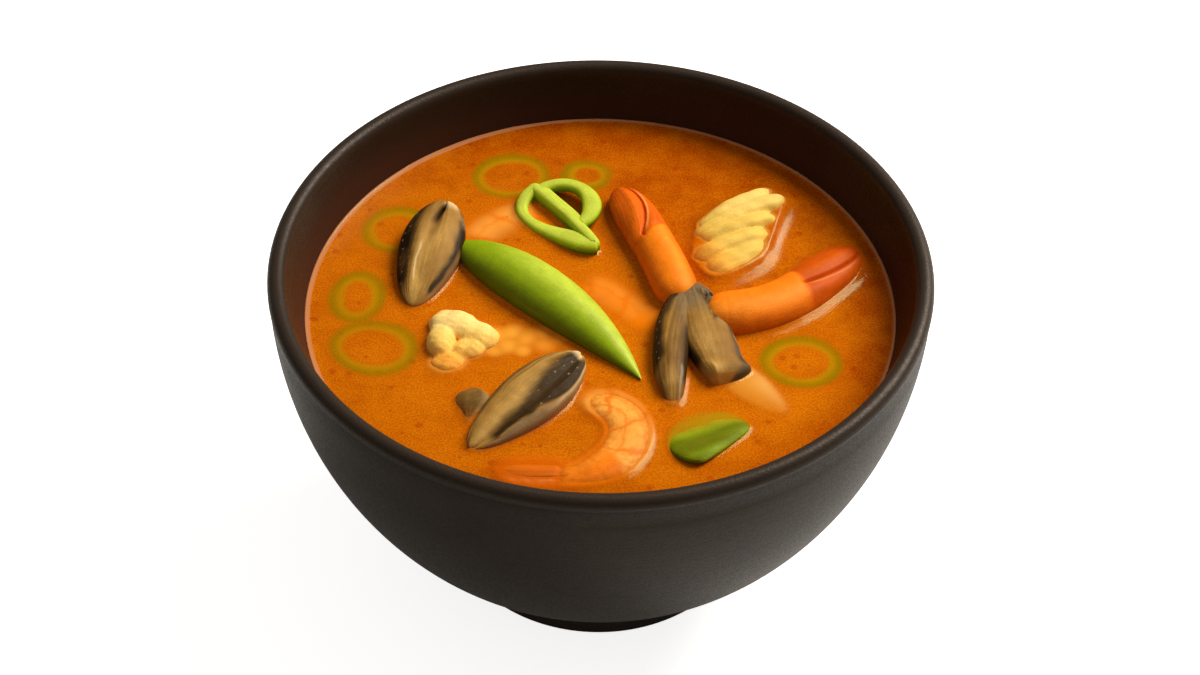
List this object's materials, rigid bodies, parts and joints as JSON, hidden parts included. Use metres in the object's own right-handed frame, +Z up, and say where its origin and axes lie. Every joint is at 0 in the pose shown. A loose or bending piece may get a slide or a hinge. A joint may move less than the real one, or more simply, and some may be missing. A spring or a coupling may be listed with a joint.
{
  "type": "bowl of tom yum soup",
  "caption": "Round dark footed bowl of orange broth with floating shrimps, halved mushrooms, a green pod, sliced greens and pale bites.",
  "frame": {"origin": "middle of the foot's underside, on the bowl's axis", "axes": "+Z up along the bowl's axis, +Y away from the diner, +X to the diner's right"},
  "size_m": [0.14, 0.14, 0.0826],
  "materials": {
    "dark_glaze": "satin",
    "broth": "wet",
    "pod_skin": "glossy",
    "mushroom": "wet",
    "shrimp": "wet",
    "pale_bite": "wet",
    "sliced_greens": "wet"
  },
  "bodies": {
    "root": {"bowl": "dark_glaze", "soup": "broth", "pod": "pod_skin", "mushroom_left": "mushroom", "mushroom_front": "mushroom", "mushroom_right": "mushroom", "mushroom_chip": "mushroom", "shrimp_centre": "shrimp", "shrimp_right": "shrimp", "shrimp_front": "shrimp", "shrimp_back": "shrimp", "shrimp_middle": "shrimp", "pale_lump": "pale_bite", "pale_bundle": "pale_bite", "green_loop_low": "sliced_greens", "green_loop_high": "sliced_greens", "leaf_wedge": "sliced_greens", "onion_ring_1": "sliced_greens", "onion_ring_2": "sliced_greens", "onion_ring_3": "sliced_greens", "onion_ring_4": "sliced_greens", "onion_ring_5": "sliced_greens", "onion_ring_6": "sliced_greens"}
  },
  "joints": []
}
